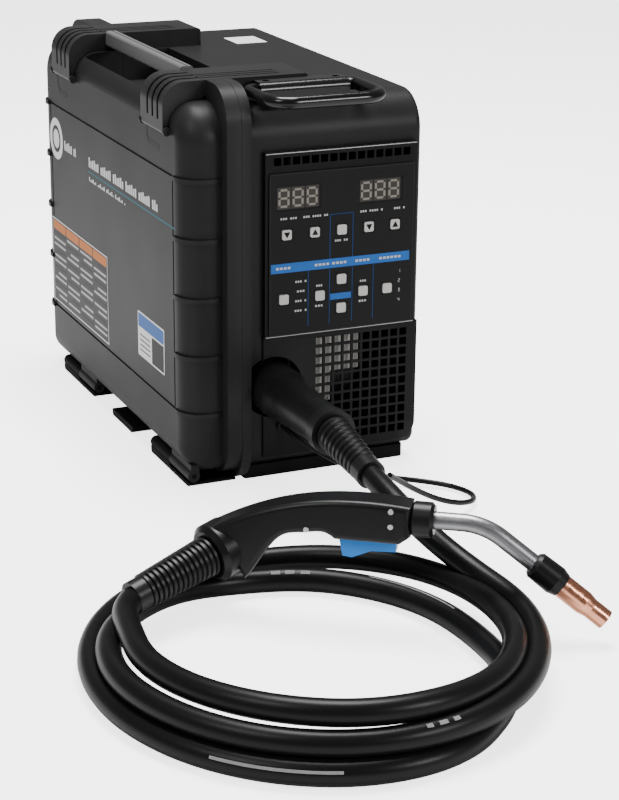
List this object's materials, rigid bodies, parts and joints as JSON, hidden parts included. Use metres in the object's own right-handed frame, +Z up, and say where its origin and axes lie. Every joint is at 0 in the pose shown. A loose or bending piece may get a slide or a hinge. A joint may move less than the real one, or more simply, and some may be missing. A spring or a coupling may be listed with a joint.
{
  "type": "wire feeder",
  "caption": "Suitcase wire feeder for arc welding: hinged clamshell case, bail and carry handles, angled control panel, and a welding gun on a coiled cable.",
  "frame": {"origin": "middle of the case's base, on the surface it stands on", "axes": "+Z up, -Y towards the front control panel and the gun, -X towards the door"},
  "size_m": [0.5453, 1.2199, 0.449],
  "materials": {
    "case_plastic": "moulded satin with a fine grain",
    "base_plastic": "moulded satin",
    "steel": "machined",
    "handle_grey": "satin",
    "bail_paint": "glossy black paint",
    "latch_plastic": "satin",
    "panel_steel": "fine texture black paint",
    "overlay_film": "printed film, low gloss",
    "display_lens": "tinted, polished",
    "board_green": "solder mask",
    "cable_rubber": "satin",
    "gun_plastic": "fine satin grain",
    "trigger_blue": "satin",
    "neck_metal": "satin",
    "copper": "machined copper",
    "brass": "machined",
    "motor_black": "satin paint"
  },
  "bodies": {
    "case": {"bail_bracket": "bail_paint", "bail_handle": "bail_paint", "bracket_bolts": "steel", "bulkhead": "steel", "cable_coil": "cable_rubber", "cable_lead": "cable_rubber", "carry_handle": "handle_grey", "circuit_board": "board_green", "contact_tip": "copper", "control_overlay": "overlay_film", "control_panel": "panel_steel", "displays": "display_lens", "drive_casting": "neck_metal", "drive_motor": "motor_black", "gas_valve": "brass", "grille_panel": "panel_steel", "gun_adapter": "brass", "gun_neck": "neck_metal", "gun_plug": "gun_plastic", "gun_strain_relief": "gun_plastic", "handle_far": "gun_plastic", "handle_near": "gun_plastic", "handle_screws": "steel", "hinge_arms": "base_plastic", "hinge_pins": "steel", "main_shell": "case_plastic", "meter_tray": "panel_steel", "neck_insulator": "gun_plastic", "neck_nut": "gun_plastic", "nozzle": "copper", "plug_strain_relief": "gun_plastic", "rear_panel": "panel_steel", "skid_rails": "base_plastic", "spool_spindle": "steel", "trigger_lead": "cable_rubber", "weld_connector": "brass", "weld_contactor": "motor_black", "wire_guides": "brass"},
    "latch_front": {"latch_front": "latch_plastic"},
    "latch_rear": {"latch_rear": "latch_plastic"},
    "door": {"door_shell": "case_plastic"},
    "spool_hub": {"spool_hub": "gun_plastic"},
    "roll_front": {"drive_roll_front": "steel"},
    "roll_rear": {"drive_roll_rear": "steel"},
    "arm": {"pressure_arm": "steel"},
    "top_roll_front": {"pressure_roll_front": "steel"},
    "top_roll_rear": {"pressure_roll_rear": "steel"},
    "knob": {"tension_knob": "gun_plastic"},
    "trigger": {"gun_trigger": "trigger_blue"},
    "button_in_use": {"button_in_use": "overlay_film"},
    "button_jog": {"button_jog": "overlay_film"},
    "button_memory": {"button_memory": "overlay_film"},
    "button_process": {"button_process": "overlay_film"},
    "button_purge": {"button_purge": "overlay_film"},
    "button_speed_down": {"button_speed_down": "overlay_film"},
    "button_speed_up": {"button_speed_up": "overlay_film"},
    "button_trigger_hold": {"button_trigger_hold": "overlay_film"},
    "button_trigger_select": {"button_trigger_select": "overlay_film"},
    "button_voltage_down": {"button_voltage_down": "overlay_film"},
    "button_voltage_up": {"button_voltage_up": "overlay_film"}
  },
  "joints": [
    {"name": "door_hinge", "type": "hinge", "parent": "case", "child": "door", "pos_m": [-0.1295, 0, 0.012], "axis": [0, -1, 0], "range_deg": [0, 90]},
    {"name": "latch_front_hinge", "type": "hinge", "parent": "door", "child": "latch_front", "pos_m": [-0.1435, -0.175, 0.394], "axis": [0, -1, 0], "range_deg": [0, 75]},
    {"name": "latch_rear_hinge", "type": "hinge", "parent": "door", "child": "latch_rear", "pos_m": [-0.1435, 0.151, 0.394], "axis": [0, -1, 0], "range_deg": [0, 75]},
    {"name": "spool_spin", "type": "hinge", "parent": "case", "child": "spool_hub", "pos_m": [-0.07, 0.084, 0.225], "axis": [1, 0, 0], "continuous": true},
    {"name": "roll_front_spin", "type": "hinge", "parent": "case", "child": "roll_front", "pos_m": [-0.035, -0.175, 0.09], "axis": [1, 0, 0], "continuous": true},
    {"name": "roll_rear_spin", "type": "hinge", "parent": "case", "child": "roll_rear", "pos_m": [-0.035, -0.125, 0.09], "axis": [1, 0, 0], "continuous": true},
    {"name": "arm_lift", "type": "hinge", "parent": "case", "child": "arm", "pos_m": [-0.04, -0.101, 0.138], "axis": [-1, 0, 0], "range_deg": [0, 45]},
    {"name": "top_roll_front_spin", "type": "hinge", "parent": "arm", "child": "top_roll_front", "pos_m": [-0.045, -0.175, 0.126], "axis": [1, 0, 0], "continuous": true},
    {"name": "top_roll_rear_spin", "type": "hinge", "parent": "arm", "child": "top_roll_rear", "pos_m": [-0.045, -0.125, 0.126], "axis": [1, 0, 0], "continuous": true},
    {"name": "knob_turn", "type": "hinge", "parent": "arm", "child": "knob", "pos_m": [-0.042, -0.15, 0.15], "axis": [0, 0, 1], "continuous": true},
    {"name": "trigger_pull", "type": "hinge", "parent": "case", "child": "trigger", "pos_m": [-0.07926, -0.65624, 0.084], "axis": [0.5779, 0.8161, 0], "range_deg": [0, 6], "stiffness_Nm_per_rad": 0.8},
    {"name": "button_in_use_press", "type": "slide", "parent": "case", "child": "button_in_use", "axis": [0, 1, 0], "range_m": [0, 0.0012], "stiffness_N_per_m": 300},
    {"name": "button_jog_press", "type": "slide", "parent": "case", "child": "button_jog", "axis": [0, 1, 0], "range_m": [0, 0.0012], "stiffness_N_per_m": 300},
    {"name": "button_memory_press", "type": "slide", "parent": "case", "child": "button_memory", "axis": [0, 1, 0], "range_m": [0, 0.0012], "stiffness_N_per_m": 300},
    {"name": "button_process_press", "type": "slide", "parent": "case", "child": "button_process", "axis": [0, 1, 0], "range_m": [0, 0.0012], "stiffness_N_per_m": 300},
    {"name": "button_purge_press", "type": "slide", "parent": "case", "child": "button_purge", "axis": [0, 1, 0], "range_m": [0, 0.0012], "stiffness_N_per_m": 300},
    {"name": "button_speed_down_press", "type": "slide", "parent": "case", "child": "button_speed_down", "axis": [0, 1, 0], "range_m": [0, 0.0012], "stiffness_N_per_m": 300},
    {"name": "button_speed_up_press", "type": "slide", "parent": "case", "child": "button_speed_up", "axis": [0, 1, 0], "range_m": [0, 0.0012], "stiffness_N_per_m": 300},
    {"name": "button_trigger_hold_press", "type": "slide", "parent": "case", "child": "button_trigger_hold", "axis": [0, 1, 0], "range_m": [0, 0.0012], "stiffness_N_per_m": 300},
    {"name": "button_trigger_select_press", "type": "slide", "parent": "case", "child": "button_trigger_select", "axis": [0, 1, 0], "range_m": [0, 0.0012], "stiffness_N_per_m": 300},
    {"name": "button_voltage_down_press", "type": "slide", "parent": "case", "child": "button_voltage_down", "axis": [0, 1, 0], "range_m": [0, 0.0012], "stiffness_N_per_m": 300},
    {"name": "button_voltage_up_press", "type": "slide", "parent": "case", "child": "button_voltage_up", "axis": [0, 1, 0], "range_m": [0, 0.0012], "stiffness_N_per_m": 300}
  ],
  "couplings": [
    {"joint": "roll_rear_spin", "follows": "roll_front_spin", "ratio": 1},
    {"joint": "top_roll_front_spin", "follows": "roll_front_spin", "ratio": -1},
    {"joint": "top_roll_rear_spin", "follows": "roll_front_spin", "ratio": -1}
  ]
}
